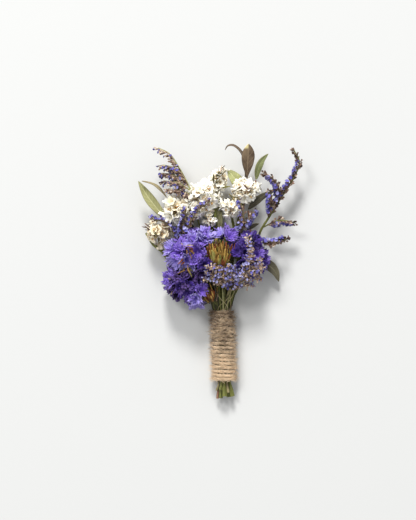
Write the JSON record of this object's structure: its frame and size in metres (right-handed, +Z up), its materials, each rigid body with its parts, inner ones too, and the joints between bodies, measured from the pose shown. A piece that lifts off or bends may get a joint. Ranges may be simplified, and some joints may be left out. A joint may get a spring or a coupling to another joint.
{
  "type": "boutonniere",
  "caption": "Dried-flower boutonniere of violet and white statice, sea lavender and small leaves, its stems bound with jute twine, lying on its back.",
  "frame": {"origin": "on the surface, under the middle of the twine binding", "axes": "+Y along the stems towards the flowers, +Z up from the surface that it lies on, +X to the right when the flowers point away"},
  "size_m": [0.0787, 0.1241, 0.0256],
  "materials": {
    "jute_twine": "coarse, fuzzy jute, unbleached",
    "green_stem": "dried winged stems, matt",
    "brown_twig": "thin dry twig, matt",
    "sea_lavender": "wiry stems with small brown calyces and blue-violet florets",
    "dry_bract": "papery ochre bracts with rust edges",
    "violet_petal": "papery, finely pleated, matt",
    "deep_violet_petal": "papery, finely pleated, matt",
    "white_petal": "papery off-white, matt",
    "olive_leaf": "dried leaf, soft sheen",
    "pale_leaf": "dried leaf, soft sheen",
    "brown_leaf": "dried leaf, soft sheen",
    "dark_leaf": "dried leaf, soft sheen"
  },
  "bodies": {
    "root": {"bract_fan_centre": "dry_bract", "bract_fan_low": "dry_bract", "leaf_bloom_low": "dark_leaf", "leaf_centre": "olive_leaf", "leaf_left_broad": "olive_leaf", "leaf_left_narrow": "olive_leaf", "leaf_right_long": "brown_leaf", "leaf_right_low": "dark_leaf", "leaf_right_small": "dark_leaf", "leaf_top_brown": "brown_leaf", "leaf_top_curled": "brown_leaf", "leaf_top_green": "pale_leaf", "leaf_top_pale": "pale_leaf", "sea_lavender_centre": "sea_lavender", "sea_lavender_front": "sea_lavender", "sea_lavender_left": "sea_lavender", "sea_lavender_right": "sea_lavender", "sea_lavender_top_left": "sea_lavender", "twig_left": "brown_twig", "twig_right": "brown_twig", "twig_top": "brown_twig", "twine_wrap": "jute_twine", "violet_bloom_bottom": "violet_petal", "violet_bloom_centre": "deep_violet_petal", "violet_bloom_left": "violet_petal", "violet_bloom_lower_left": "deep_violet_petal", "violet_bloom_right": "deep_violet_petal", "violet_bloom_side": "deep_violet_petal", "violet_bloom_side_top": "violet_petal", "violet_bloom_top": "violet_petal", "violet_bloom_top_left": "violet_petal", "violet_stalk_centre": "green_stem", "violet_stalk_left": "green_stem", "violet_stalk_lower": "green_stem", "violet_stalk_right": "green_stem", "white_head_centre": "white_petal", "white_head_far_left": "white_petal", "white_head_left": "white_petal", "white_head_mid_left": "white_petal", "white_head_mid_right": "white_petal", "white_head_mid_small": "white_petal", "white_head_right": "white_petal", "white_head_top": "white_petal", "white_stalk_centre": "green_stem", "white_stalk_left": "green_stem", "white_stalk_right": "green_stem"}
  },
  "joints": []
}
